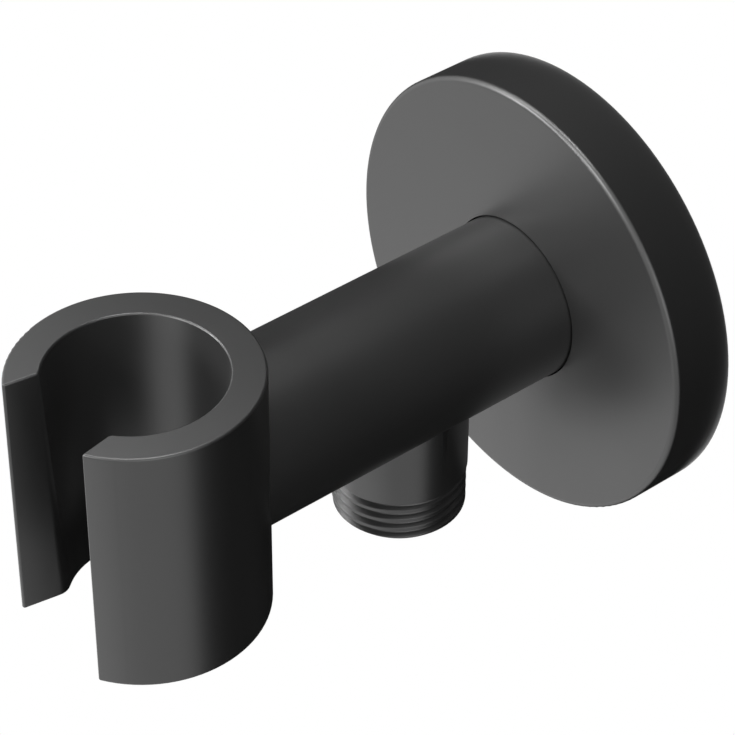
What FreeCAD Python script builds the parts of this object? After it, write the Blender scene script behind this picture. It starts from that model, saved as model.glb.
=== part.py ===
# Wall outlet elbow with a hand shower holder: a round rosette, a level arm, a threaded hose outlet
# under the arm and a slotted cup at its end that takes the hand shower.
# Millimetres. The origin is the centre of the rosette's wall side, in the plane of the wall.
# +Z is up, +Y points into the wall, so the arm runs along -Y and the cup's slot faces -Y.

import FreeCAD
import Part

import math
import os

from FreeCAD import Vector

# Rosette
rosette_diameter = 72.2
rosette_depth = 10.7
rosette_front_wall = 2.4
rosette_rim_wall = 2.6
rosette_front_round = 0.9
rosette_back_chamfer = 0.3
rosette_inner_round = 1.2
hub_wall = 3.2
hub_back_gap = 3.4
arm_hole_clearance = 0.15

# Arm
arm_diameter = 26.6
arm_back_chamfer = 0.5
arm_root_depth = 2.5
cup_reach = 81.4

# Cup for the hand shower
cup_diameter = 36.8
cup_rise = 21.5
cup_drop = 21.1
cup_bore_top_diameter = 26.5
cup_bore_bottom_diameter = 23.4
slot_mouth_width = 18.7
slot_throat_width = 16.1
cup_rim_round = 0.4
jaw_outer_round = 0.35
jaw_inner_round_top = 0.9
jaw_inner_round_bottom = 2.6

# Hose outlet, its G 1/2 thread drawn as a plain cylinder at the major diameter
pipe_thread_diameter = 20.955
outlet_reach = 33.3
outlet_drop = 28.5
outlet_neck_diameter = 21.3
outlet_thread_length = 8.1
outlet_end_chamfer = 0.8

# Waterway through the arm
channel_diameter = 12.0
channel_end_depth = 7.0
drill_point_angle = 118.0
outlet_feed_diameter = 11.0

# Wall nipple, with the same thread on its wall end
nipple_thread_length = 13.0
nipple_thread_chamfer = 1.0
thread_relief_width = 1.6
thread_relief_depth = 1.3
nipple_collar_diameter = 25.4
nipple_collar_thickness = 2.5
nipple_collar_chamfer = 0.4
wall_gasket_thickness = 1.5
wall_gasket_clearance = 0.1
spigot_diameter = 18.0
spigot_length = 22.4
spigot_clearance = 0.05
spigot_lead_chamfer = 0.8
socket_end_gap = 0.6
nipple_bore_diameter = 9.6
nipple_hex_across_flats = 10.0
nipple_hex_depth = 9.0

# O-rings, each pressed between the floor of its groove and the wall that it seals on
ring_squeeze = 0.15
ring_side_room = 0.25
nipple_ring_cord = 2.0
front_ring_setback = 2.8
rear_ring_setback = 6.0
rosette_ring_cord = 2.0
rosette_ring_setback = 2.6
cartridge_ring_cord = 1.5
cartridge_ring_setback = 1.7

# Grub screw that locks the arm on the nipple
grub_diameter = 5.0
grub_clearance = 0.05
grub_length = 4.6
grub_reach = 15.2
grub_cone_length = 1.0
grub_tip_diameter = 2.4
grub_end_chamfer = 0.3
grub_hex_across_flats = 2.5
grub_hex_depth = 2.2
lock_groove_width = 4.0
lock_groove_depth = 1.2
lock_groove_slope = 1.0

# Non-return valve in the outlet
cartridge_diameter = 15.0
cartridge_clearance = 0.05
cartridge_length = 16.4
cartridge_flange_diameter = 16.2
cartridge_flange_thickness = 1.2
cartridge_flange_clearance = 0.1
cartridge_bore_diameter = 12.2
seat_opening_diameter = 7.6
seat_depth = 3.2
seat_lead_chamfer = 1.2
guide_setback = 5.2
guide_ring_diameter = 13.0
guide_ring_wall = 1.2
guide_ring_clearance = 0.02
guide_thickness = 2.4
guide_boss_diameter = 4.4
guide_bore_clearance = 0.15
guide_rib_width = 1.4
guide_rib_count = 3
poppet_disc_diameter = 10.6
poppet_disc_thickness = 1.2
poppet_stem_diameter = 2.2
poppet_stem_length = 7.6
poppet_boss_diameter = 3.6
poppet_travel = 2.4
poppet_stop_gap = 0.05
poppet_nose_diameter = 4.0
poppet_nose_clearance = 0.05
poppet_head_diameter = 5.4
poppet_head_height = 1.0
poppet_seal_thickness = 1.0
seat_gap = 0.02
spring_wire_diameter = 0.5
spring_coil_diameter = 6.4
spring_turns = 4.0
spring_arcs_per_turn = 4
spring_end_gap = 0.02

# Worked out from the sizes above
rosette_radius = rosette_diameter / 2
arm_radius = arm_diameter / 2
arm_hole_radius = arm_radius + arm_hole_clearance
arm_back_y = -wall_gasket_thickness - nipple_collar_thickness
cup_radius = cup_diameter / 2
cup_height = cup_rise + cup_drop
thread_radius = pipe_thread_diameter / 2
spigot_radius = spigot_diameter / 2
socket_radius = spigot_radius + spigot_clearance
spigot_tip_y = arm_back_y - spigot_length
socket_end_y = spigot_tip_y - socket_end_gap
cartridge_radius = cartridge_diameter / 2
cartridge_hole_radius = cartridge_radius + cartridge_clearance
cartridge_top_z = -outlet_drop + cartridge_length
seat_z = cartridge_top_z - seat_depth
guide_top_z = -outlet_drop + guide_setback
poppet_seal_z = seat_z - seat_gap - poppet_seal_thickness
poppet_disc_z = poppet_seal_z - poppet_disc_thickness
outlet_axis = Vector(0, -outlet_reach, 0)
cup_axis = Vector(0, -cup_reach, 0)

# How far a cutting shape runs past the faces that it opens
overrun = 5.0


# Shapes that several pieces use
def turned(outline, at=Vector(0, 0, 0)):
    """A solid turned about an upright axis, from (radius, height) corners."""
    corners = [Vector(radius, 0, height) for radius, height in outline]
    face = Part.Face(Part.makePolygon(corners + corners[:1]))
    solid = face.revolve(Vector(0, 0, 0), Vector(0, 0, 1), 360)
    solid.translate(at)
    return solid


def turned_on_arm_axis(outline):
    """A solid turned about the arm's axis, from (radius, station along Y) corners."""
    solid = turned(outline)
    solid.rotate(Vector(0, 0, 0), Vector(1, 0, 0), -90)
    return solid


def hexagon(across_flats, depth, base, direction):
    """A hexagonal prism that cuts a key socket."""
    corner_radius = across_flats / math.sqrt(3)
    corners = [Vector(corner_radius, 0, 0)]
    for step in range(1, 6):
        turn = FreeCAD.Rotation(Vector(0, 0, 1), 60 * step)
        corners.append(turn.multVec(corners[0]))
    prism = Part.Face(Part.makePolygon(corners + corners[:1])).extrude(Vector(0, 0, depth))
    prism.Placement = FreeCAD.Placement(base, FreeCAD.Rotation(Vector(0, 0, 1), direction))
    return prism


def ring_gap(cord):
    """The gap between a groove's floor and the wall that its O-ring seals on."""
    return cord * (1 - ring_squeeze)


def groove(wall_radius, floor_radius, cord, station):
    """The four corners of an O-ring's groove, in the order of rising stations."""
    half_width = cord / 2 + ring_side_room
    low = station - half_width
    high = station + half_width
    return [(wall_radius, low), (floor_radius, low), (floor_radius, high), (wall_radius, high)]


def pressed_ring(inner_radius, outer_radius, cord, station):
    """An O-ring about an upright axis, its round cord pressed flat on the groove and on the wall."""
    middle = (inner_radius + outer_radius) / 2
    half_gap = (outer_radius - inner_radius) / 2
    half_flat = math.sqrt((cord / 2) ** 2 - half_gap**2)
    inner_low = Vector(inner_radius, 0, station - half_flat)
    inner_high = Vector(inner_radius, 0, station + half_flat)
    outer_low = Vector(outer_radius, 0, station - half_flat)
    outer_high = Vector(outer_radius, 0, station + half_flat)
    above = Part.Arc(inner_high, Vector(middle, 0, station + cord / 2), outer_high)
    below = Part.Arc(outer_low, Vector(middle, 0, station - cord / 2), inner_low)
    outer_flat = Part.LineSegment(outer_high, outer_low)
    inner_flat = Part.LineSegment(inner_low, inner_high)
    edges = [above.toShape(), outer_flat.toShape(), below.toShape(), inner_flat.toShape()]
    return Part.Face(Part.Wire(edges)).revolve(Vector(0, 0, 0), Vector(0, 0, 1), 360)


def pressed_ring_on_arm_axis(inner_radius, outer_radius, cord, station):
    """The same O-ring about the arm's axis, with its station along Y."""
    ring = pressed_ring(inner_radius, outer_radius, cord, station)
    ring.rotate(Vector(0, 0, 0), Vector(1, 0, 0), -90)
    return ring


def edges_where(shape, wanted):
    """The edges that pass a test on the edge and its middle point."""
    found = []
    for edge in shape.Edges:
        middle = edge.valueAt((edge.FirstParameter + edge.LastParameter) / 2)
        if wanted(edge, middle):
            found.append(edge)
    return found


# Cup
def slot_wedge():
    """The slot's void: its walls spread from the throat to the mouth, over the cup's whole height."""
    throat = slot_throat_width / 2
    mouth = slot_mouth_width / 2
    throat_y = math.sqrt((cup_bore_bottom_diameter / 2) ** 2 - throat**2)
    mouth_y = math.sqrt(cup_radius**2 - mouth**2)
    spread = (mouth - throat) / (mouth_y - throat_y)
    inner = throat - spread * throat_y
    outer_y = cup_radius + overrun
    outer = inner + spread * outer_y
    low = -cup_drop - overrun
    plan = [(-inner, 0), (-outer, -outer_y), (outer, -outer_y), (inner, 0)]
    corners = [cup_axis + Vector(x, y, low) for x, y in plan]
    face = Part.Face(Part.makePolygon(corners + corners[:1]))
    return face.extrude(Vector(0, 0, cup_height + 2 * overrun))


def round_inner_jaw(cup, side):
    """Rounds one upright edge between the bore and the slot, more towards the foot of the cup."""

    def on_bore_edge(edge, middle):
        in_front = middle.y < -cup_reach - slot_throat_width / 4
        inside = math.hypot(middle.x, middle.y + cup_reach) < cup_radius - cup_rim_round
        upright = abs(edge.BoundBox.ZLength - cup_height) < 0.01
        return upright and in_front and inside and middle.x * side > 0

    edge = edges_where(cup, on_bore_edge)[0]
    start_is_low = edge.valueAt(edge.FirstParameter).z < edge.valueAt(edge.LastParameter).z
    start = jaw_inner_round_bottom if start_is_low else jaw_inner_round_top
    end = jaw_inner_round_top if start_is_low else jaw_inner_round_bottom
    return cup.makeFillet(start, end, [edge]).Solids[0]


def round_outer_jaws(cup):
    """Rounds the upright edges between the slot and the outside of the cup."""

    def on_outer_edge(edge, middle):
        in_front = middle.y < -cup_reach - cup_radius / 2
        outside = abs(math.hypot(middle.x, middle.y + cup_reach) - cup_radius) < 0.01
        upright = abs(edge.BoundBox.ZLength - cup_height) < 0.01
        return upright and in_front and outside

    return cup.makeFillet(jaw_outer_round, edges_where(cup, on_outer_edge)).Solids[0]


def round_rims(cup):
    """A fine round along every edge of the cup's top and bottom faces."""

    def on_rim(edge, middle):
        level = edge.BoundBox.ZLength < 0.01
        return level and min(abs(middle.z - cup_rise), abs(middle.z + cup_drop)) < 0.01

    return cup.makeFillet(cup_rim_round, edges_where(cup, on_rim)).Solids[0]


def make_cup():
    """The slotted cup, its bore tapering evenly towards the foot to fit the hand shower's cone."""
    wall = [
        (cup_bore_bottom_diameter / 2, -cup_drop),
        (cup_radius, -cup_drop),
        (cup_radius, cup_rise),
        (cup_bore_top_diameter / 2, cup_rise),
    ]
    cup = turned(wall, cup_axis).cut(slot_wedge()).Solids[0]
    cup = round_inner_jaw(cup, 1)
    cup = round_inner_jaw(cup, -1)
    return round_rims(round_outer_jaws(cup))


# Holder body: arm, hose outlet and cup, cast in one piece
def make_arm():
    """The arm ends inside the cup's wall, short of the bore."""
    back = [(arm_radius - arm_back_chamfer, arm_back_y), (arm_radius, arm_back_y - arm_back_chamfer)]
    arm = turned_on_arm_axis([(0, -cup_reach), (0, arm_back_y), *back, (arm_radius, -cup_reach)])
    root_radius = cup_radius - arm_root_depth
    return arm.cut(Part.makeCylinder(root_radius, 4 * arm_radius, cup_axis - Vector(0, 0, 2 * arm_radius)))


def make_outlet():
    neck_radius = outlet_neck_diameter / 2
    thread_top = -outlet_drop + outlet_thread_length
    outline = [
        (0, -outlet_drop),
        (thread_radius - outlet_end_chamfer, -outlet_drop),
        (thread_radius, -outlet_drop + outlet_end_chamfer),
        (thread_radius, thread_top),
        (neck_radius, thread_top),
        (neck_radius, 0),
        (0, 0),
    ]
    return turned(outline, outlet_axis)


def waterway():
    """The nipple's socket and the channel behind it, drilled from the wall end."""
    channel_radius = channel_diameter / 2
    channel_end = -outlet_reach - channel_end_depth
    point = channel_radius / math.tan(math.radians(drill_point_angle / 2))
    outline = [
        (0, arm_back_y + overrun),
        (socket_radius, arm_back_y + overrun),
        (socket_radius, socket_end_y),
        (channel_radius, socket_end_y),
        (channel_radius, channel_end),
        (0, channel_end - point),
    ]
    return turned_on_arm_axis(outline)


def outlet_bore():
    """The non-return valve's seat in the outlet, and the feed above it that meets the channel."""
    feed_radius = outlet_feed_diameter / 2
    flange_radius = cartridge_flange_diameter / 2 + cartridge_flange_clearance
    flange_z = -outlet_drop + cartridge_flange_thickness
    outline = [
        (0, 0),
        (feed_radius, 0),
        (feed_radius, cartridge_top_z),
        (cartridge_hole_radius, cartridge_top_z),
        (cartridge_hole_radius, flange_z),
        (flange_radius, flange_z),
        (flange_radius, -outlet_drop - overrun),
        (0, -outlet_drop - overrun),
    ]
    return turned(outline, outlet_axis)


def grub_screw_hole():
    radius = grub_diameter / 2 + grub_clearance
    base = Vector(0, -grub_reach, -arm_radius - overrun)
    return Part.makeCylinder(radius, arm_radius + overrun, base)


def make_holder_body():
    body = make_arm().fuse([make_outlet(), make_cup()])
    body = body.cut([waterway(), outlet_bore(), grub_screw_hole()])
    return body.removeSplitter().Solids[0]


# Rosette and its O-ring
rosette_ring_y = -hub_back_gap - rosette_ring_setback


def make_rosette():
    """A turned cover, hollow behind, with a hub that slides on the arm and holds the O-ring."""
    inner_front_y = -rosette_depth + rosette_front_wall
    rim_inner_radius = rosette_radius - rosette_rim_wall
    hub_radius = arm_hole_radius + hub_wall
    floor_radius = arm_radius + ring_gap(rosette_ring_cord)
    outline = [
        (arm_hole_radius, -rosette_depth),
        *groove(arm_hole_radius, floor_radius, rosette_ring_cord, rosette_ring_y),
        (arm_hole_radius, -hub_back_gap),
        (hub_radius, -hub_back_gap),
        (hub_radius, inner_front_y),
        (rim_inner_radius, inner_front_y),
        (rim_inner_radius, 0),
        (rosette_radius - rosette_back_chamfer, 0),
        (rosette_radius, -rosette_back_chamfer),
        (rosette_radius, -rosette_depth),
    ]
    rosette = turned_on_arm_axis(outline)

    def on_circle(radius, y):
        return lambda edge, middle: (
            abs(middle.y - y) < 0.01
            and abs(math.hypot(middle.x, middle.z) - radius) < 0.01
            and edge.BoundBox.YLength < 0.01
        )

    inner_edges = edges_where(rosette, on_circle(rim_inner_radius, inner_front_y))
    inner_edges += edges_where(rosette, on_circle(hub_radius, inner_front_y))
    rosette = rosette.makeFillet(rosette_inner_round, inner_edges)
    front_edge = edges_where(rosette, on_circle(rosette_radius, -rosette_depth))
    return rosette.makeFillet(rosette_front_round, front_edge).Solids[0]


def make_rosette_ring():
    floor_radius = arm_radius + ring_gap(rosette_ring_cord)
    return pressed_ring_on_arm_axis(arm_radius, floor_radius, rosette_ring_cord, rosette_ring_y)


# Wall nipple, its O-rings, the wall gasket and the grub screw
nipple_floor_radius = socket_radius - ring_gap(nipple_ring_cord)
front_ring_y = spigot_tip_y + front_ring_setback
rear_ring_y = spigot_tip_y + rear_ring_setback


def make_wall_nipple():
    """Screwed into the wall's pipe fitting; the arm slides over its spigot as far as the collar."""
    bore_radius = nipple_bore_diameter / 2
    collar_radius = nipple_collar_diameter / 2
    relief_radius = thread_radius - thread_relief_depth
    relief_end_y = -wall_gasket_thickness + thread_relief_width
    lock_floor_radius = spigot_radius - lock_groove_depth
    half_lock = lock_groove_width / 2
    half_lock_mouth = half_lock + lock_groove_slope
    outline = [
        (bore_radius, spigot_tip_y),
        (spigot_radius - spigot_lead_chamfer, spigot_tip_y),
        (spigot_radius, spigot_tip_y + spigot_lead_chamfer),
        *groove(spigot_radius, nipple_floor_radius, nipple_ring_cord, front_ring_y),
        *groove(spigot_radius, nipple_floor_radius, nipple_ring_cord, rear_ring_y),
        (spigot_radius, -grub_reach - half_lock_mouth),
        (lock_floor_radius, -grub_reach - half_lock),
        (lock_floor_radius, -grub_reach + half_lock),
        (spigot_radius, -grub_reach + half_lock_mouth),
        (spigot_radius, arm_back_y),
        (collar_radius - nipple_collar_chamfer, arm_back_y),
        (collar_radius, arm_back_y + nipple_collar_chamfer),
        (collar_radius, -wall_gasket_thickness),
        (relief_radius, -wall_gasket_thickness),
        (relief_radius, relief_end_y),
        (thread_radius, relief_end_y + thread_relief_depth),
        (thread_radius, nipple_thread_length - nipple_thread_chamfer),
        (thread_radius - nipple_thread_chamfer, nipple_thread_length),
        (bore_radius, nipple_thread_length),
    ]
    key_base = Vector(0, spigot_tip_y - overrun, 0)
    key = hexagon(nipple_hex_across_flats, nipple_hex_depth + overrun, key_base, Vector(0, 1, 0))
    return turned_on_arm_axis(outline).cut(key).Solids[0]


def make_nipple_ring(station):
    return pressed_ring_on_arm_axis(nipple_floor_radius, socket_radius, nipple_ring_cord, station)


def make_wall_gasket():
    inner_radius = thread_radius + wall_gasket_clearance
    outer_radius = nipple_collar_diameter / 2
    outline = [
        (inner_radius, -wall_gasket_thickness),
        (outer_radius, -wall_gasket_thickness),
        (outer_radius, 0),
        (inner_radius, 0),
    ]
    return turned_on_arm_axis(outline)


def make_grub_screw():
    """Its tip bears on the floor of the nipple's lock groove, and its key socket faces down."""
    radius = grub_diameter / 2
    tip_z = -spigot_radius + lock_groove_depth
    end_z = tip_z - grub_length
    outline = [
        (0, tip_z),
        (grub_tip_diameter / 2, tip_z),
        (radius, tip_z - grub_cone_length),
        (radius, end_z + grub_end_chamfer),
        (radius - grub_end_chamfer, end_z),
        (0, end_z),
    ]
    axis = Vector(0, -grub_reach, 0)
    key_base = axis + Vector(0, 0, end_z - overrun)
    key = hexagon(grub_hex_across_flats, grub_hex_depth + overrun, key_base, Vector(0, 0, 1))
    return turned(outline, axis).cut(key).Solids[0]


# Non-return valve: water opens it downwards, and its spring closes it upwards on the seat
cartridge_ring_z = cartridge_top_z - cartridge_ring_setback
cartridge_floor_radius = cartridge_hole_radius - ring_gap(cartridge_ring_cord)


def make_valve_cartridge():
    seat_radius = seat_opening_diameter / 2
    bore_radius = cartridge_bore_diameter / 2
    guide_seat_radius = guide_ring_diameter / 2 + guide_ring_clearance
    flange_radius = cartridge_flange_diameter / 2
    flange_z = -outlet_drop + cartridge_flange_thickness
    outline = [
        (seat_radius + seat_lead_chamfer, cartridge_top_z),
        (seat_radius, cartridge_top_z - seat_lead_chamfer),
        (seat_radius, seat_z),
        (bore_radius, seat_z),
        (bore_radius, guide_top_z),
        (guide_seat_radius, guide_top_z),
        (guide_seat_radius, -outlet_drop),
        (flange_radius, -outlet_drop),
        (flange_radius, flange_z),
        (cartridge_radius, flange_z),
        *groove(cartridge_radius, cartridge_floor_radius, cartridge_ring_cord, cartridge_ring_z),
        (cartridge_radius, cartridge_top_z),
    ]
    return turned(outline, outlet_axis)


def make_cartridge_ring():
    ring = pressed_ring(
        cartridge_floor_radius, cartridge_hole_radius, cartridge_ring_cord, cartridge_ring_z
    )
    ring.translate(outlet_axis)
    return ring


def make_valve_guide():
    """A ring with ribs that carry the boss in which the poppet's stem slides."""
    ring_radius = guide_ring_diameter / 2
    inner_radius = ring_radius - guide_ring_wall
    boss_radius = guide_boss_diameter / 2
    bore_radius = poppet_stem_diameter / 2 + guide_bore_clearance
    base = Vector(0, 0, guide_top_z - guide_thickness)
    ring = Part.makeCylinder(ring_radius, guide_thickness, base)
    ring = ring.cut(Part.makeCylinder(inner_radius, guide_thickness, base))
    boss = Part.makeCylinder(boss_radius, guide_thickness, base)
    reach = inner_radius + guide_ring_wall / 2
    rib = Part.makeBox(reach, guide_rib_width, guide_thickness, base - Vector(0, guide_rib_width / 2, 0))
    ribs = []
    for index in range(guide_rib_count):
        turn = 360 / guide_rib_count * index
        ribs.append(rib.rotated(Vector(0, 0, 0), Vector(0, 0, 1), turn))
    guide = boss.fuse([ring, *ribs]).cut(Part.makeCylinder(bore_radius, guide_thickness, base))
    guide = guide.removeSplitter().Solids[0]
    guide.translate(outlet_axis)
    return guide


def make_valve_poppet():
    """Stem, boss, disc and a headed nose that holds the rubber seal on the disc."""
    stem_radius = poppet_stem_diameter / 2
    boss_radius = poppet_boss_diameter / 2
    nose_radius = poppet_nose_diameter / 2
    head_radius = poppet_head_diameter / 2
    head_z = poppet_seal_z + poppet_seal_thickness
    boss_z = guide_top_z + poppet_travel + poppet_stop_gap
    stem_z = poppet_disc_z - poppet_stem_length
    outline = [
        (0, stem_z),
        (stem_radius, stem_z),
        (stem_radius, boss_z),
        (boss_radius, boss_z),
        (boss_radius, poppet_disc_z),
        (poppet_disc_diameter / 2, poppet_disc_z),
        (poppet_disc_diameter / 2, poppet_seal_z),
        (nose_radius, poppet_seal_z),
        (nose_radius, head_z),
        (head_radius, head_z),
        (nose_radius / 2, head_z + poppet_head_height),
        (0, head_z + poppet_head_height),
    ]
    return turned(outline, outlet_axis)


def make_poppet_seal():
    inner_radius = poppet_nose_diameter / 2 + poppet_nose_clearance
    outer_radius = poppet_disc_diameter / 2
    top_z = poppet_seal_z + poppet_seal_thickness
    outline = [
        (inner_radius, poppet_seal_z),
        (outer_radius, poppet_seal_z),
        (outer_radius, top_z),
        (inner_radius, top_z),
    ]
    return turned(outline, outlet_axis)


def make_valve_spring():
    """A round-wire coil between the guide and the poppet's disc, swept along short arcs of its helix."""
    wire_radius = spring_wire_diameter / 2
    low = guide_top_z + wire_radius + spring_end_gap
    high = poppet_disc_z - wire_radius - spring_end_gap
    coil_radius = spring_coil_diameter / 2

    def on_helix(turns):
        turn = FreeCAD.Rotation(Vector(0, 0, 1), 360 * turns)
        height = low + (high - low) * turns / spring_turns
        return turn.multVec(Vector(coil_radius, 0, 0)) + Vector(0, 0, height)

    arcs = []
    arc_count = math.ceil(spring_turns * spring_arcs_per_turn)
    share = spring_turns / arc_count
    for index in range(arc_count):
        ends = [on_helix(share * (index + step)) for step in (0, 0.5, 1)]
        arcs.append(Part.Arc(*ends))
    start = on_helix(0)
    start_direction = arcs[0].tangent(arcs[0].FirstParameter)[0]
    section = Part.Wire(Part.makeCircle(wire_radius, start, start_direction))
    path = Part.Wire([arc.toShape() for arc in arcs])
    spring = path.makePipeShell([section], True, True, 0)
    spring.translate(outlet_axis)
    return spring


# Every piece, by the name of its file
pieces = {
    "holder_body": make_holder_body(),
    "rosette": make_rosette(),
    "rosette_o_ring": make_rosette_ring(),
    "wall_nipple": make_wall_nipple(),
    "nipple_o_ring_front": make_nipple_ring(front_ring_y),
    "nipple_o_ring_rear": make_nipple_ring(rear_ring_y),
    "wall_gasket": make_wall_gasket(),
    "grub_screw": make_grub_screw(),
    "valve_cartridge": make_valve_cartridge(),
    "cartridge_o_ring": make_cartridge_ring(),
    "valve_guide": make_valve_guide(),
    "valve_poppet": make_valve_poppet(),
    "poppet_seal": make_poppet_seal(),
    "valve_spring": make_valve_spring(),
}

os.makedirs("parts", exist_ok=True)
for name, piece in pieces.items():
    piece.exportStep(f"parts/{name}.step")
    print(name, piece.ShapeType, piece.isValid(), round(piece.Volume, 1))
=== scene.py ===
import math

import bmesh
import bpy
from mathutils import Matrix, Vector


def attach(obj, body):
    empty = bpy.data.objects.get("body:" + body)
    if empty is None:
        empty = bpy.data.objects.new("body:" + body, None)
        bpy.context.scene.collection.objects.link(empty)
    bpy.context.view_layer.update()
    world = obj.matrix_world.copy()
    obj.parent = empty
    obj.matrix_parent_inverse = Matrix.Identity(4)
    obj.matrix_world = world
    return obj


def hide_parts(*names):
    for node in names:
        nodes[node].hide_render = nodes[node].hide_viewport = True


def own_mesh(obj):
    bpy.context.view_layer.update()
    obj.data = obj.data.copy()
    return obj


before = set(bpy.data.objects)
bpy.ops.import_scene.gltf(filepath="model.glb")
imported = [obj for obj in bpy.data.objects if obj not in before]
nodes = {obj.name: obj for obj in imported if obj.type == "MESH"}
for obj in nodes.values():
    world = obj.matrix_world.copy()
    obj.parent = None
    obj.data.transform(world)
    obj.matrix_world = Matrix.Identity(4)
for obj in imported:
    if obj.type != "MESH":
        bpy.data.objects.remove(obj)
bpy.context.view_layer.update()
mm = 0.001
print("stage: frame loaded,", len(nodes), "nodes")


# materials

def linearColour(hexColour):
    # sRGB hex to the linear values that sockets take
    channels = [int(hexColour[i:i + 2], 16) / 255 for i in (1, 3, 5)]
    return [c / 12.92 if c <= 0.04045 else ((c + 0.055) / 1.055) ** 2.4 for c in channels] + [1.0]


def addNode(tree, kind, settings=None, inputs=None):
    # settings are the node's own, inputs go to its sockets: a value, or another node's output
    node = tree.nodes.new(kind)
    for name, value in (settings or {}).items():
        setattr(node, name, value)
    for name, value in (inputs or {}).items():
        if isinstance(value, bpy.types.NodeSocket):
            tree.links.new(value, node.inputs[name])
        else:
            node.inputs[name].default_value = value
    return node


def startMaterial(name):
    material = bpy.data.materials.new(name)
    material.use_nodes = True
    material.node_tree.nodes.clear()
    return material, material.node_tree


def endMaterial(tree, shader):
    addNode(tree, "ShaderNodeOutputMaterial", inputs={"Surface": shader.outputs[0]})


satinBlack = {
    "colour": "#292929",       # black coat, its patches a shade apart
    "coolColour": "#252525",
    "specular": 0.8,
    "roughness": (0.34, 0.38),
    "patchSize": 14.0,         # mm
    "grainSize": 0.35,         # mm, the orange peel of a thin sprayed coat
    "grainDepth": 0.0012,      # mm
}


def makeSatinBlackBrass():
    # brass with a baked satin black coat: soft highlights, very fine orange peel
    material, tree = startMaterial("satin black coated brass")
    place = addNode(tree, "ShaderNodeTexCoord").outputs["Object"]
    patches = addNode(tree, "ShaderNodeTexNoise", inputs={
        "Vector": place, "Scale": 1 / (satinBlack["patchSize"] * mm), "Detail": 3.0})
    grain = addNode(tree, "ShaderNodeTexNoise", inputs={
        "Vector": place, "Scale": 1 / (satinBlack["grainSize"] * mm), "Detail": 2.0})
    colour = addNode(tree, "ShaderNodeMix", {"data_type": "RGBA"}, {
        "Factor": patches.outputs["Fac"],
        "A": linearColour(satinBlack["colour"]), "B": linearColour(satinBlack["coolColour"])})
    low, high = satinBlack["roughness"]
    rough = addNode(tree, "ShaderNodeMapRange", inputs={
        "Value": patches.outputs["Fac"], "To Min": low, "To Max": high})
    peel = addNode(tree, "ShaderNodeBump", inputs={
        "Height": grain.outputs["Fac"], "Distance": satinBlack["grainDepth"] * mm, "Strength": 1.0})
    shader = addNode(tree, "ShaderNodeBsdfPrincipled", inputs={
        "Base Color": colour.outputs["Result"], "Roughness": rough.outputs["Result"],
        "Metallic": 0.0, "IOR": 1.5, "Specular IOR Level": satinBlack["specular"],
        "Normal": peel.outputs["Normal"]})
    endMaterial(tree, shader)
    return material


turnedBrass = {
    "colour": "#c9a765",
    "roughness": (0.22, 0.38),
    "stainSize": 5.556,        # mm
    "toolMarkPitch": 0.25,     # mm, feed marks of the lathe, drawn coarse enough to show
    "toolMarkDepth": 0.004,    # mm
    "toolMarkStrength": 0.6,
}


def makeTurnedBrass():
    # bare brass as the lathe leaves it: fine rings round the axis
    material, tree = startMaterial("turned brass")
    place = addNode(tree, "ShaderNodeTexCoord").outputs["Object"]
    split = addNode(tree, "ShaderNodeSeparateXYZ", inputs={"Vector": place})
    along = addNode(tree, "ShaderNodeMath", {"operation": "MULTIPLY"}, {
        0: split.outputs["Y"], 1: 2 * math.pi / (turnedBrass["toolMarkPitch"] * mm)})
    rings = addNode(tree, "ShaderNodeMath", {"operation": "SINE"}, {0: along.outputs[0]})
    stain = addNode(tree, "ShaderNodeTexNoise", inputs={
        "Vector": place, "Scale": 1 / (turnedBrass["stainSize"] * mm), "Detail": 4.0})
    low, high = turnedBrass["roughness"]
    rough = addNode(tree, "ShaderNodeMapRange", inputs={
        "Value": stain.outputs["Fac"], "To Min": low, "To Max": high})
    marks = addNode(tree, "ShaderNodeBump", inputs={
        "Height": rings.outputs[0], "Distance": turnedBrass["toolMarkDepth"] * mm,
        "Strength": turnedBrass["toolMarkStrength"]})
    shader = addNode(tree, "ShaderNodeBsdfPrincipled", inputs={
        "Base Color": linearColour(turnedBrass["colour"]), "Metallic": 1.0,
        "Roughness": rough.outputs["Result"], "Normal": marks.outputs["Normal"]})
    endMaterial(tree, shader)
    return material


steel = {
    "colour": "#b9b8b4",
    "roughness": (0.18, 0.32),
    "streakSize": 0.4,         # mm
}


def makeStainlessSteel():
    # drawn and machined stainless steel: bright, with faint streaks
    material, tree = startMaterial("stainless steel")
    place = addNode(tree, "ShaderNodeTexCoord").outputs["Object"]
    streak = addNode(tree, "ShaderNodeTexNoise", inputs={
        "Vector": place, "Scale": 1 / (steel["streakSize"] * mm), "Detail": 2.0})
    low, high = steel["roughness"]
    rough = addNode(tree, "ShaderNodeMapRange", inputs={
        "Value": streak.outputs["Fac"], "To Min": low, "To Max": high})
    shader = addNode(tree, "ShaderNodeBsdfPrincipled", inputs={
        "Base Color": linearColour(steel["colour"]), "Metallic": 1.0,
        "Roughness": rough.outputs["Result"]})
    endMaterial(tree, shader)
    return material


rubber = {
    "colour": "#1b1b1c",
    "bloomColour": "#29292a",
    "roughness": 0.62,
    "bloomSize": 3.846,        # mm
    "grainSize": 0.25,         # mm
    "grainDepth": 0.006,       # mm
    "grainStrength": 0.7,
}


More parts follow.
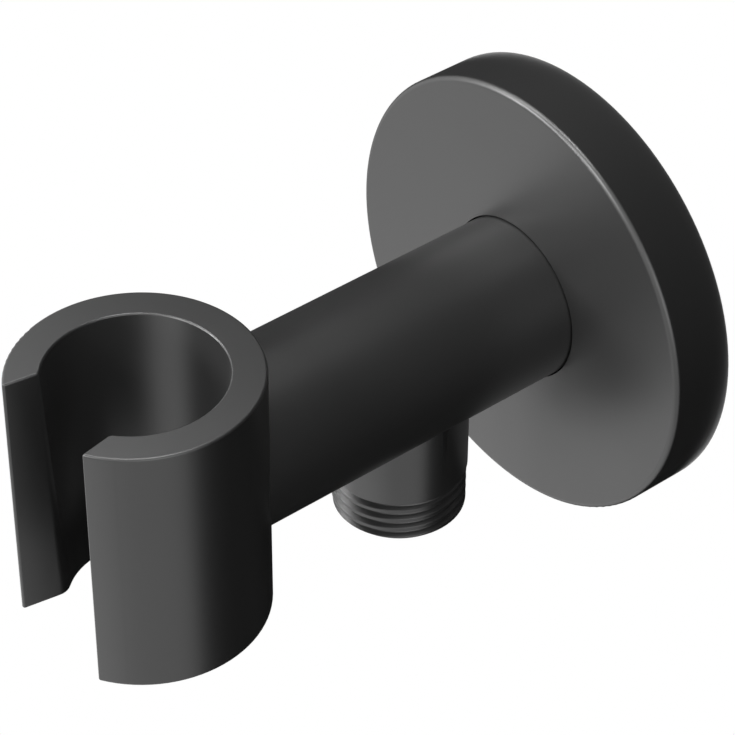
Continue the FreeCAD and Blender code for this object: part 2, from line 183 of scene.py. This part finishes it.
def makeEpdmRubber():
    # moulded EPDM: dull black with a slight grey bloom
    material, tree = startMaterial("EPDM rubber")
    place = addNode(tree, "ShaderNodeTexCoord").outputs["Object"]
    bloom = addNode(tree, "ShaderNodeTexNoise", inputs={
        "Vector": place, "Scale": 1 / (rubber["bloomSize"] * mm), "Detail": 5.0})
    grain = addNode(tree, "ShaderNodeTexNoise", inputs={
        "Vector": place, "Scale": 1 / (rubber["grainSize"] * mm), "Detail": 2.0})
    colour = addNode(tree, "ShaderNodeMix", {"data_type": "RGBA"}, {
        "Factor": bloom.outputs["Fac"],
        "A": linearColour(rubber["colour"]), "B": linearColour(rubber["bloomColour"])})
    skin = addNode(tree, "ShaderNodeBump", inputs={
        "Height": grain.outputs["Fac"], "Distance": rubber["grainDepth"] * mm,
        "Strength": rubber["grainStrength"]})
    shader = addNode(tree, "ShaderNodeBsdfPrincipled", inputs={
        "Base Color": colour.outputs["Result"], "Roughness": rubber["roughness"], "IOR": 1.52,
        "Normal": skin.outputs["Normal"]})
    endMaterial(tree, shader)
    return material


acetal = {
    "naturalColour": "#e6e4dc",
    "blueColour": "#3c5f94",
    "roughness": (0.36, 0.46),
    "flowSize": 2.381,         # mm
    "scatterShare": 0.08,
    "scatterDepth": 0.6,       # mm
}


def makeAcetal(name, colour):
    # moulded POM: waxy, slightly translucent plastic with a faint flow pattern
    material, tree = startMaterial(name)
    place = addNode(tree, "ShaderNodeTexCoord").outputs["Object"]
    flow = addNode(tree, "ShaderNodeTexNoise", inputs={
        "Vector": place, "Scale": 1 / (acetal["flowSize"] * mm), "Detail": 3.0})
    low, high = acetal["roughness"]
    rough = addNode(tree, "ShaderNodeMapRange", inputs={
        "Value": flow.outputs["Fac"], "To Min": low, "To Max": high})
    shader = addNode(tree, "ShaderNodeBsdfPrincipled", inputs={
        "Base Color": linearColour(colour), "Roughness": rough.outputs["Result"], "IOR": 1.48,
        "Subsurface Weight": acetal["scatterShare"], "Subsurface Scale": acetal["scatterDepth"] * mm})
    endMaterial(tree, shader)
    return material


satinBlackBrass = makeSatinBlackBrass()
bareBrass = makeTurnedBrass()
stainlessSteel = makeStainlessSteel()
epdmRubber = makeEpdmRubber()
naturalAcetal = makeAcetal("natural POM", acetal["naturalColour"])
blueAcetal = makeAcetal("blue POM", acetal["blueColour"])
print("stage: materials")


# paths that wind: the cutters of both pipe threads, and the valve's spring

def makeCoilTree(name):
    tree = bpy.data.node_groups.new(name, "GeometryNodeTree")
    face = tree.interface
    sizes = (("Turns", 4.0), ("Pitch", 0.002), ("Radius", 0.01), ("Run-out turns", 0.0),
             ("Run-out lift", 0.0), ("End turns closed", 0.0), ("Closed pitch", 0.0))
    for label, value in sizes:
        face.new_socket(label, in_out="INPUT", socket_type="NodeSocketFloat").default_value = value
    face.new_socket("Steps", in_out="INPUT", socket_type="NodeSocketInt").default_value = 400
    face.new_socket("Section", in_out="INPUT", socket_type="NodeSocketObject")
    face.new_socket("Material", in_out="INPUT", socket_type="NodeSocketMaterial")
    face.new_socket("Geometry", in_out="OUTPUT", socket_type="NodeSocketGeometry")
    given = addNode(tree, "NodeGroupInput").outputs

    # each line: a result, its operation and what goes in, which is an earlier result, an input or a number
    formulas = (
        ("last", "SUBTRACT", "Steps", 1.0),
        ("share", "DIVIDE", "index", "last"),
        ("turn", "MULTIPLY", "share", "Turns"),
        ("angle", "MULTIPLY", "turn", 2 * math.pi),
        ("turns left", "SUBTRACT", "Turns", "turn"),
        # near both ends the coil lies at the closed pitch
        ("low closed", "MINIMUM", "turn", "End turns closed"),
        ("high left", "MINIMUM", "turns left", "End turns closed"),
        ("high closed", "SUBTRACT", "End turns closed", "high left"),
        ("closed", "ADD", "low closed", "high closed"),
        ("opened", "SUBTRACT", "turn", "closed"),
        ("closed rise", "MULTIPLY", "closed", "Closed pitch"),
        ("opened rise", "MULTIPLY", "opened", "Pitch"),
        ("height", "ADD", "closed rise", "opened rise"),
        # the last part of a thread's groove climbs out of the metal
        ("past", "SUBTRACT", "Run-out turns", "turns left"),
        ("out", "MAXIMUM", "past", 0.0),
        ("whole run-out", "MAXIMUM", "Run-out turns", 0.001),
        ("out share", "DIVIDE", "out", "whole run-out"),
        ("lift", "MULTIPLY", "out share", "Run-out lift"),
        ("reach", "ADD", "Radius", "lift"),
        ("cosine", "COSINE", "angle", 0.0),
        ("sine", "SINE", "angle", 0.0),
        ("x", "MULTIPLY", "cosine", "reach"),
        ("y", "MULTIPLY", "sine", "reach"),
    )
    values = {socket.name: socket for socket in given}
    values["index"] = addNode(tree, "GeometryNodeInputIndex").outputs[0]
    for result, operation, first, second in formulas:
        values[result] = addNode(tree, "ShaderNodeMath", {"operation": operation}, {
            0: values.get(first, first), 1: values.get(second, second)}).outputs[0]

    line = addNode(tree, "GeometryNodeMeshLine", {"mode": "OFFSET"}, {"Count": given["Steps"]})
    place = addNode(tree, "ShaderNodeCombineXYZ", inputs={
        "X": values["x"], "Y": values["y"], "Z": values["height"]})
    moved = addNode(tree, "GeometryNodeSetPosition", inputs={
        "Geometry": line.outputs["Mesh"], "Position": place.outputs[0]})
    path = addNode(tree, "GeometryNodeMeshToCurve", inputs={"Mesh": moved.outputs["Geometry"]})
    upright = addNode(tree, "GeometryNodeSetCurveNormal", {"mode": "Z_UP"}, {
        "Curve": path.outputs["Curve"]})
    section = addNode(tree, "GeometryNodeObjectInfo", inputs={"Object": given["Section"]})
    swept = addNode(tree, "GeometryNodeCurveToMesh", inputs={
        "Curve": upright.outputs["Curve"], "Profile Curve": section.outputs["Geometry"],
        "Fill Caps": True})
    real = addNode(tree, "GeometryNodeRealizeInstances", inputs={"Geometry": swept.outputs["Mesh"]})
    painted = addNode(tree, "GeometryNodeSetMaterial", inputs={
        "Geometry": real.outputs["Geometry"], "Material": given["Material"]})
    addNode(tree, "NodeGroupOutput", inputs={"Geometry": painted.outputs["Geometry"]})
    return tree


coilTree = makeCoilTree("coil along a helix")


def makeCoil(name, material, section, sizes, matrix):
    # section: points in mm, outward from the coil's axis and along it
    # runs the tree once and gives back a plain mesh, put in place by the matrix
    outline = bpy.data.curves.new(name + "Section", "CURVE")
    outline.dimensions = "3D"
    spline = outline.splines.new("POLY")
    spline.points.add(len(section) - 1)
    for point, (outward, along) in zip(spline.points, section):
        point.co = (outward * mm, along * mm, 0, 1)
    spline.use_cyclic_u = True
    profile = bpy.data.objects.new(name + "Section", outline)
    bpy.context.collection.objects.link(profile)
    holder = bpy.data.objects.new(name + "Path", bpy.data.meshes.new(name + "Path"))
    bpy.context.collection.objects.link(holder)
    modifier = holder.modifiers.new("coil", "NODES")
    modifier.node_group = coilTree
    sockets = {i.name: i.identifier for i in coilTree.interface.items_tree if i.in_out == "INPUT"}
    modifier[sockets["Section"]] = profile
    modifier[sockets["Material"]] = material
    for label, value in sizes.items():
        modifier[sockets[label]] = value
    graph = bpy.context.evaluated_depsgraph_get()
    mesh = bpy.data.meshes.new_from_object(holder.evaluated_get(graph))
    bpy.data.objects.remove(holder)
    bpy.data.objects.remove(profile)
    mesh.transform(matrix)
    work = bmesh.new()
    work.from_mesh(mesh)
    bmesh.ops.remove_doubles(work, verts=work.verts, dist=1e-7)
    bmesh.ops.recalc_face_normals(work, faces=work.faces)
    work.to_mesh(mesh)
    work.free()
    coil = bpy.data.objects.new(name, mesh)
    bpy.context.collection.objects.link(coil)
    return coil


# pieces that keep their CAD form: merged, smooth where the surface is, crisp at the edges

def mergedCopy(node, name, material):
    mesh = nodes[node].data.copy()
    work = bmesh.new()
    work.from_mesh(mesh)
    bmesh.ops.remove_doubles(work, verts=work.verts, dist=2e-6)
    bmesh.ops.dissolve_degenerate(work, edges=work.edges, dist=1e-7)
    work.to_mesh(mesh)
    work.free()
    mesh.materials.clear()
    mesh.materials.append(material)
    piece = bpy.data.objects.new(name, mesh)
    bpy.context.collection.objects.link(piece)
    return piece


def smoothShade(piece, edgeAngle=24):
    piece.data.shade_smooth()
    piece.data.set_sharp_from_angle(angle=math.radians(edgeAngle))


def normalsOnTurnedSurface(mesh, axis, centre, outline, near=0.03):
    # outline: a line (radius, height, radius, height) or an arc (radius, height, arc radius), in mm
    # gives the exact normal of each vertex that lies on the surface which the outline turns into
    found = {}
    for vertex in mesh.vertices:
        offset = vertex.co / mm - centre
        height = offset.dot(axis)
        radial = offset - axis * height
        radius = radial.length
        if radius < near:
            continue
        across, up = radius - outline[0], height - outline[1]
        if len(outline) == 3:
            reach = math.hypot(across, up)
            onOutline = abs(reach - outline[2]) < near
        else:
            lineAcross, lineUp = outline[2] - outline[0], outline[3] - outline[1]
            reach = math.hypot(lineAcross, lineUp)
            along = (across * lineAcross + up * lineUp) / reach
            away = (across * lineUp - up * lineAcross) / reach
            onOutline = abs(away) < near and -near <= along <= reach + near
            across, up = lineUp, -lineAcross
        if onOutline:
            found[vertex.index] = (radial / radius * across + axis * up) / reach
    return found


def trueNormals(piece, surfaces, alike=0.75, same=0.9999):
    # the facets of turned surfaces reflect as the smooth surface does
    mesh = piece.data
    known = [normalsOnTurnedSurface(mesh, Vector(s["axis"]), Vector(s["centre"]), outline)
             for s in surfaces for outline in s["outlines"]]
    normals = [Vector(corner.vector) for corner in mesh.corner_normals]
    exact = {}
    for polygon in mesh.polygons:
        for found in known:
            if not all(v in found for v in polygon.vertices):
                continue
            facing = [found[v].dot(polygon.normal) for v in polygon.vertices]
            if min(abs(f) for f in facing) > alike:
                for corner, v, f in zip(polygon.loop_indices, polygon.vertices, facing):
                    exact[corner] = found[v] * math.copysign(1, f)
                break
    # a facet next to such a surface, with no edge between them, meets it at the same normal
    atVertex = {}
    for corner, normal in exact.items():
        atVertex.setdefault(mesh.loops[corner].vertex_index, []).append((normals[corner], normal))
    shared = list(normals)
    for corner, loop in enumerate(mesh.loops):
        if corner in exact:
            shared[corner] = exact[corner]
            continue
        for smooth, normal in atVertex.get(loop.vertex_index, ()):
            if smooth.dot(normals[corner]) > same:
                shared[corner] = normal
                break
    mesh.normals_split_custom_set(shared)


def standIn(piece, node, body="holder"):
    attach(piece, body)
    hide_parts(node)


def makeTurnedPiece(node, name, material, body="holder"):
    piece = mergedCopy(node, name, material)
    smoothShade(piece)
    standIn(piece, node, body)
    return piece


# G 1/2 pipe thread: 55 degree form, 14 to the inch
pipeThread = {
    "majorDiameter": 20.955,
    "pitch": 1.814,
    "flankTurn": 62.5,         # degrees that a round turns through before the straight flank
    "crestTurn": 6.0,          # where the groove leaves the crest, short of its top
    "clear": 0.2,              # how far the cutter stands out of the metal
    "stepsPerTurn": 96,
}
bareForm = {"depth": 1.162, "round": 0.249}
coatedForm = {"depth": 0.8, "round": 0.3}     # blunt crests, and roots that the coat has filled


def grooveSection(form, steps=4):
    # half of the groove from its root out to the crest, then its mirror image
    turn, crest = math.radians(pipeThread["flankTurn"]), math.radians(pipeThread["crestTurn"])
    depth, radius = form["depth"], form["round"]
    flankRise = depth - 2 * radius * (1 - math.cos(turn))
    half = 2 * radius * math.sin(turn) + flankRise / math.tan(turn)
    angles = [turn * i / steps for i in range(steps + 1)]
    side = [(radius * (1 - math.cos(a)), radius * math.sin(a)) for a in angles]
    angles = [turn + (crest - turn) * i / steps for i in range(steps + 1)]
    side += [(depth - radius * (1 - math.cos(a)), half - radius * math.sin(a)) for a in angles]
    side.append((depth + pipeThread["clear"], side[-1][1]))
    return side + [(outward, -along) for outward, along in reversed(side[1:])]


def cutThread(piece, form, thread, matrix):
    rootRadius = pipeThread["majorDiameter"] / 2 - form["depth"]
    cutter = makeCoil(piece.name + "Cutter", None, grooveSection(form), {
        "Turns": thread["turns"], "Pitch": pipeThread["pitch"] * mm, "Radius": rootRadius * mm,
        "Run-out turns": thread["runOutTurns"], "Run-out lift": thread["runOutLift"] * mm,
        "Steps": int(thread["turns"] * pipeThread["stepsPerTurn"])}, matrix)
    cut = piece.modifiers.new("thread", "BOOLEAN")
    cut.operation = "DIFFERENCE"
    cut.solver = "MANIFOLD"
    cut.object = cutter
    graph = bpy.context.evaluated_depsgraph_get()
    mesh = bpy.data.meshes.new_from_object(piece.evaluated_get(graph))
    piece.modifiers.clear()
    material = piece.data.materials[0]
    piece.data = mesh
    mesh.materials.clear()
    mesh.materials.append(material)
    for polygon in mesh.polygons:
        polygon.material_index = 0
    bpy.data.objects.remove(cutter)


# the sizes that tell which facets of the body are turned or bored, in mm
bodySizes = {
    "armRadius": 13.3,
    "armLength": 81.0,
    "neckRadius": 10.65,
    "neckTop": 8.0,            # below the arm's axis, as are the next two
    "neckEnd": 20.4,
    "outletEnd": 28.5,
    "outletChamfer": 0.8,
    "outletHole": 8.2,
    "outletAxisY": -33.3,
    "cupAxisY": -81.4,
    "cupRadius": 18.4,
    "cupTop": 21.5,
    "cupFoot": -21.1,
    "boreTop": 13.25,
    "boreFoot": 11.7,
    "rimRound": 0.4,
}
# the groove starts a share of a pitch outside the end and leaves the metal at its other end
hoseThread = {"lead": 0.6, "turns": 4.8, "runOutTurns": 0.36, "runOutLift": 1.0, "phase": 154.9}


def bodySurfaces():
    arm, neck = bodySizes["armRadius"], bodySizes["neckRadius"]
    crest = pipeThread["majorDiameter"] / 2
    neckEnd, end, chamfer = (bodySizes[k] for k in ("neckEnd", "outletEnd", "outletChamfer"))
    cup, top, foot, rim = (bodySizes[k] for k in ("cupRadius", "cupTop", "cupFoot", "rimRound"))
    boreTop, boreFoot = bodySizes["boreTop"], bodySizes["boreFoot"]
    taper = math.atan((boreTop - boreFoot) / (top - foot))
    # middles of the rounds between the tapered bore and the flat ends of the cup
    rimTop = boreTop + rim / math.cos(taper) - rim * math.tan(taper)
    rimFoot = boreFoot + rim / math.cos(taper) + rim * math.tan(taper)
    return (
        {"axis": (0, -1, 0), "centre": (0, 0, 0), "outlines": (
            (arm, 0, arm, bodySizes["armLength"]),)},
        {"axis": (0, 0, -1), "centre": (0, bodySizes["outletAxisY"], 0), "outlines": (
            (neck, bodySizes["neckTop"], neck, neckEnd),
            (crest, neckEnd, crest, end - chamfer),
            (crest - chamfer, end, crest, end - chamfer),
            (bodySizes["outletHole"], end, crest - chamfer, end))},
        {"axis": (0, 0, 1), "centre": (0, bodySizes["cupAxisY"], 0), "outlines": (
            (cup, foot + rim, cup, top - rim),
            (cup - rim, top - rim, rim),
            (cup - rim, foot + rim, rim),
            (boreTop, top, cup - rim, top),
            (boreFoot, foot, cup - rim, foot),
            (boreFoot, foot, boreTop, top),
            (rimTop, top - rim, rim),
            (rimFoot, foot + rim, rim))},
    )


def makeHolderBody():
    body = mergedCopy("holder_body", "holderBody", satinBlackBrass)
    low = -bodySizes["outletEnd"] - hoseThread["lead"] * pipeThread["pitch"]
    place = Matrix.Translation(Vector((0, bodySizes["outletAxisY"], low)) * mm)
    cutThread(body, coatedForm, hoseThread,
              place @ Matrix.Rotation(math.radians(hoseThread["phase"]), 4, "Z"))
    smoothShade(body)
    trueNormals(body, bodySurfaces())
    standIn(body, "holder_body")


rosetteSizes = {
    "radius": 36.1,
    "depth": 10.7,
    "frontRound": 0.9,
    "backChamfer": 0.3,
    "hole": 13.45,
    "backEdgeShift": 0.25,     # how much wider two rings are than the solid's, as the photo shows them
    "holeMouthShift": 0.1,
}


def shiftRing(mesh, radius, reach, shift, near=0.01):
    # moves a ring of vertices about the arm's axis outwards, reach is its distance from the wall
    for vertex in mesh.vertices:
        across = math.hypot(vertex.co.x, vertex.co.z) / mm
        if abs(across - radius) < near and abs(-vertex.co.y / mm - reach) < near:
            grow = (across + shift) / across
            vertex.co.x *= grow
            vertex.co.z *= grow


def makeRosette():
    radius, depth, front = (rosetteSizes[k] for k in ("radius", "depth", "frontRound"))
    chamfer, hole = rosetteSizes["backChamfer"], rosetteSizes["hole"]
    cover = makeTurnedPiece("rosette", "rosetteCover", satinBlackBrass)
    shiftRing(cover.data, radius - chamfer, 0, rosetteSizes["backEdgeShift"])
    shiftRing(cover.data, hole, depth, rosetteSizes["holeMouthShift"])
    trueNormals(cover, ({"axis": (0, -1, 0), "centre": (0, 0, 0), "outlines": (
        (radius, chamfer, radius, depth - front),
        (radius - front, depth - front, front),
        (hole, depth, radius - front, depth))},))


makeHolderBody()
makeRosette()
print("stage: holder body and rosette")


# the groove runs off this thread's outer end, so it needs no run-out
wallThread = {"end": 13.0, "lead": 0.6, "turns": 7.5, "runOutTurns": 0.0, "runOutLift": 0.0}


def makeWallNipple():
    nipple = mergedCopy("wall_nipple", "wallNipple", bareBrass)
    start = wallThread["end"] + wallThread["lead"] * pipeThread["pitch"]
    place = Matrix.Translation(Vector((0, start, 0)) * mm)
    cutThread(nipple, bareForm, wallThread, place @ Matrix.Rotation(math.radians(90), 4, "X"))
    smoothShade(nipple)
    standIn(nipple, "wall_nipple")


makeWallNipple()
makeTurnedPiece("wall_gasket", "wallGasket", epdmRubber)
makeTurnedPiece("rosette_o_ring", "rosetteRing", epdmRubber)
makeTurnedPiece("nipple_o_ring_front", "nippleRingFront", epdmRubber)
makeTurnedPiece("nipple_o_ring_rear", "nippleRingRear", epdmRubber)
makeTurnedPiece("grub_screw", "grubScrew", stainlessSteel)
print("stage: wall connection")

makeTurnedPiece("valve_cartridge", "valveCartridge", naturalAcetal)
makeTurnedPiece("cartridge_o_ring", "cartridgeRing", epdmRubber)
makeTurnedPiece("valve_guide", "valveGuide", naturalAcetal)
makeTurnedPiece("valve_poppet", "valvePoppet", blueAcetal, "poppet")
makeTurnedPiece("poppet_seal", "poppetSeal", epdmRubber, "poppet")

valveSpring = {
    "wire": 0.5,
    "coil": 6.4,               # diameter at the middle of the wire
    "turns": 5.0,
    "closedEndTurns": 0.75,
    "low": -23.28,
    "high": -17.54,
    "travel": 2.4,             # how far the opening poppet pushes it together
    "sectionCorners": 16,
    "steps": 300,
    "edgeAngle": 50,           # degrees, so that only the ends of the wire stay crisp
}


def makeValveSpring():
    # stainless compression spring with closed end coils
    wire, low, high = (valveSpring[k] for k in ("wire", "low", "high"))
    closedTurns = 2 * valveSpring["closedEndTurns"]
    openPitch = (high - low - wire - closedTurns * wire) / (valveSpring["turns"] - closedTurns)
    corners = valveSpring["sectionCorners"]
    angles = [2 * math.pi * i / corners for i in range(corners)]
    section = [(wire / 2 * math.cos(a), wire / 2 * math.sin(a)) for a in angles]
    foot = Vector((0, bodySizes["outletAxisY"], low + wire / 2)) * mm
    spring = makeCoil("valveSpring", stainlessSteel, section, {
        "Turns": valveSpring["turns"], "Pitch": openPitch * mm, "Radius": valveSpring["coil"] / 2 * mm,
        "End turns closed": valveSpring["closedEndTurns"], "Closed pitch": wire * mm,
        "Steps": valveSpring["steps"]}, Matrix.Translation(foot))
    smoothShade(spring, valveSpring["edgeAngle"])
    standIn(spring, "valve_spring")
    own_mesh(spring)


makeValveSpring()
print("stage: non-return valve")


# room: a pale floor far below, a white surround and soft lamps

room = {
    "ambient": 0.08,           # what the surround adds to the shading
    "white": 1.0,              # how the surround looks to the camera and in reflections
    "floorColour": "#e9e9e9",
    "floorDrop": 1.6,          # m below the part
    "floorSize": 12.0,
}


def seenDirectly(tree):
    # 1 for camera, mirror and glass rays
    ray = addNode(tree, "ShaderNodeLightPath")
    first = addNode(tree, "ShaderNodeMath", {"operation": "MAXIMUM"}, {
        0: ray.outputs["Is Camera Ray"], 1: ray.outputs["Is Glossy Ray"]})
    both = addNode(tree, "ShaderNodeMath", {"operation": "MAXIMUM"}, {
        0: first.outputs[0], 1: ray.outputs["Is Transmission Ray"]})
    return both.outputs[0]


def setWorld():
    world = bpy.data.worlds.new("studio")
    bpy.context.scene.world = world
    world.use_nodes = True
    tree = world.node_tree
    tree.nodes.clear()
    ambient = addNode(tree, "ShaderNodeBackground", inputs={
        "Color": (1, 1, 1, 1), "Strength": room["ambient"]})
    white = addNode(tree, "ShaderNodeBackground", inputs={
        "Color": (1, 1, 1, 1), "Strength": room["white"]})
    chosen = addNode(tree, "ShaderNodeMixShader", inputs={
        0: seenDirectly(tree), 1: ambient.outputs[0], 2: white.outputs[0]})
    addNode(tree, "ShaderNodeOutputWorld", inputs={"Surface": chosen.outputs[0]})


def addBoard(name, points, faces, material):
    mesh = bpy.data.meshes.new(name)
    mesh.from_pydata(points, [], faces)
    mesh.materials.append(material)
    board = bpy.data.objects.new(name, mesh)
    bpy.context.collection.objects.link(board)
    return board


def addFloor():
    # matt pale grey that shades by the lamps for light bouncing off it, plain white where it is looked at
    # directly or in reflections
    material, tree = startMaterial("pale floor")
    matt = addNode(tree, "ShaderNodeBsdfDiffuse", inputs={"Color": linearColour(room["floorColour"])})
    white = addNode(tree, "ShaderNodeEmission", inputs={
        "Color": (1, 1, 1, 1), "Strength": room["white"]})
    chosen = addNode(tree, "ShaderNodeMixShader", inputs={
        0: seenDirectly(tree), 1: matt.outputs[0], 2: white.outputs[0]})
    endMaterial(tree, chosen)
    half, level = room["floorSize"] / 2, -room["floorDrop"]
    points = [(-half, -half, level), (half, -half, level), (half, half, level), (-half, half, level)]
    addBoard("floor", points, [(0, 1, 2, 3)], material)


# black flag round the rosette, just behind the wall's plane: only soft reflections see it, sizes in mm
flag = {
    "reach": 500.0,            # to the right and down
    "leftReach": 190.0,
    "top": 190.0,
    "plane": 0.6,
    "hole": 37.0,
    "steps": 64,
    "glow": 0.0,
}


def addFlag():
    material, tree = startMaterial("black flag")
    endMaterial(tree, addNode(tree, "ShaderNodeEmission", inputs={
        "Color": (1, 1, 1, 1), "Strength": flag["glow"]}))
    steps = flag["steps"]
    outer, inner = [], []
    for i in range(steps):
        across, up = math.cos(2 * math.pi * i / steps), math.sin(2 * math.pi * i / steps)
        # from the arm's axis out to the edge of the board in this direction
        side = flag["reach"] if across > 0 else -flag["leftReach"]
        end = flag["top"] if up > 0 else -flag["reach"]
        far = 1 / max(across / side, up / end)
        outer.append((far * across * mm, flag["plane"] * mm, far * up * mm))
        inner.append((flag["hole"] * across * mm, flag["plane"] * mm, flag["hole"] * up * mm))
    faces = [(i, (i + 1) % steps, steps + (i + 1) % steps, steps + i) for i in range(steps)]
    board = addBoard("flag", outer + inner, faces, material)
    board.visible_camera = False
    board.visible_diffuse = False
    board.visible_shadow = False
    board.visible_transmission = False


# far lamps: azimuth from the front, elevation and half size as seen from the part, in degrees
farLamps = {
    "leftRim": {"azimuth": -112, "elevation": 15, "halfSize": 20, "strength": 0.34},
    "right": {"azimuth": 68, "elevation": 15, "halfSize": 20, "strength": 1.56},
    "rightRim": {"azimuth": 112, "elevation": 15, "halfSize": 20, "strength": 0.38},
    "behind": {"azimuth": 180, "elevation": -20, "halfSize": 20, "strength": 0.56},
    "behindLow": {"azimuth": 144, "elevation": -55, "halfSize": 20, "strength": 0.17},
    "frontLow": {"azimuth": 0, "elevation": -55, "halfSize": 20, "strength": 0.46},
    "key": {"azimuth": -40, "elevation": 15, "halfSize": 7, "strength": 31.2},
    "frontLeft": {"azimuth": -20, "elevation": 15, "halfSize": 7, "strength": 16.6},
    "keyHigh": {"azimuth": -60, "elevation": 35, "halfSize": 7, "strength": 13.6},
    "frontHigh": {"azimuth": 0, "elevation": 35, "halfSize": 7, "strength": 27.7},
    "leftLow": {"azimuth": -60, "elevation": -50, "halfSize": 9, "strength": 1.15},
}
farDistance = 1.2              # m from the middle of the arm
armMiddle = (0, -45, 0)        # mm
# small lamps over the part, which shine straight down: places and radius in mm
nearLamps = {
    "overheadLeft": {"place": (-160, 0, 300), "radius": 45, "strength": 6.4},
    "overheadFront": {"place": (-160, -120, 300), "radius": 45, "strength": 16.9},
    "overhead": {"place": (0, -60, 300), "radius": 45, "strength": 15.3},
}


def direction(azimuth, elevation):
    # unit vector from the part, both angles in radians, azimuth 0 in front
    return Vector((math.sin(azimuth) * math.cos(elevation), -math.cos(azimuth) * math.cos(elevation),
                   math.sin(elevation)))


def addLamp(name, place, aim, radius, strength):
    lamp = bpy.data.lights.new(name, "AREA")
    lamp.shape = "DISK"
    lamp.size = 2 * radius
    # power for a given brightness of the lamp's face, so that strength is what a mirror would show
    lamp.energy = strength * math.pi * math.pi * radius ** 2
    thing = bpy.data.objects.new(name, lamp)
    thing.location = place
    thing.rotation_euler = (place - aim).to_track_quat("Z", "Y").to_euler()
    thing.visible_camera = False
    bpy.context.collection.objects.link(thing)


def addLamps():
    middle = Vector(armMiddle) * mm
    for name, lamp in farLamps.items():
        towards = direction(math.radians(lamp["azimuth"]), math.radians(lamp["elevation"]))
        radius = farDistance * math.tan(math.radians(lamp["halfSize"]))
        addLamp(name, middle + towards * farDistance, middle, radius, lamp["strength"])
    for name, lamp in nearLamps.items():
        place = Vector(lamp["place"]) * mm
        below = Vector((place.x, place.y, 0))
        addLamp(name, place, below, lamp["radius"] * mm, lamp["strength"])


setWorld()
addFloor()
addFlag()
addLamps()
print("stage: room and lamps")


# camera, fitted to the outlines in the photograph: place and lens in mm, turns in degrees

photoCamera = {
    "place": (270.424, -263.855, 288.412),
    "azimuth": 50.345,
    "elevation": 39.302,
    "roll": 0.291,
    "lens": 148.998,
    "sensor": 36,
    "nearest": 10,
}


def setCamera():
    azimuth, elevation, roll = (math.radians(photoCamera[k]) for k in ("azimuth", "elevation", "roll"))
    back = direction(azimuth, elevation)
    right = Vector((math.cos(azimuth), math.sin(azimuth), 0))
    up = back.cross(right)
    side = right * math.cos(roll) + up * math.sin(roll)
    above = up * math.cos(roll) - right * math.sin(roll)
    camera = bpy.data.cameras.new("photo camera")
    camera.sensor_width = photoCamera["sensor"]
    camera.lens = photoCamera["lens"]
    camera.clip_start = photoCamera["nearest"] * mm
    thing = bpy.data.objects.new("photo camera", camera)
    bpy.context.collection.objects.link(thing)
    turn = Matrix((side, above, back)).transposed().to_4x4()
    thing.matrix_world = Matrix.Translation(Vector(photoCamera["place"]) * mm) @ turn
    bpy.context.scene.camera = thing


setCamera()
bpy.context.scene.view_settings.view_transform = "Standard"

print("stage: done")
